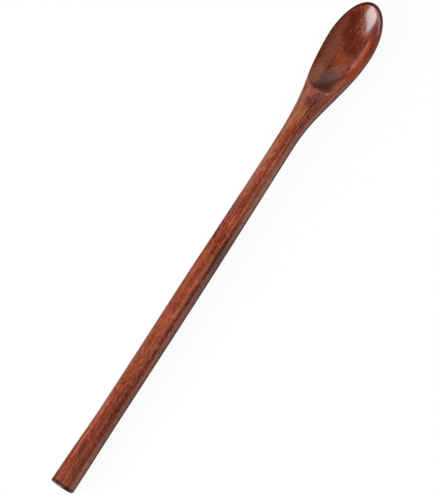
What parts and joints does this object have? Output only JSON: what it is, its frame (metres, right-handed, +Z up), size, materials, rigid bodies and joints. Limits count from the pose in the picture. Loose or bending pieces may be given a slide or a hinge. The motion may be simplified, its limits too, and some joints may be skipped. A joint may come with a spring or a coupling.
{
  "type": "wooden spoon",
  "caption": "Long-handled wooden spoon in red-brown lacquered hardwood: a slim egg-shaped bowl, a round handle planed flat on top and a straight-cut butt.",
  "frame": {"origin": "on the table, under the middle of the spoon, which rests on the butt of its handle and on its bowl", "axes": "+X along the spoon from the butt to the tip of the bowl, +Y across it to the left, +Z up out of the bowl"},
  "size_m": [0.35, 0.0332, 0.0155],
  "materials": {
    "lacquered_wood": "satin"
  },
  "bodies": {
    "root": {"spoon": "lacquered_wood"}
  },
  "joints": []
}
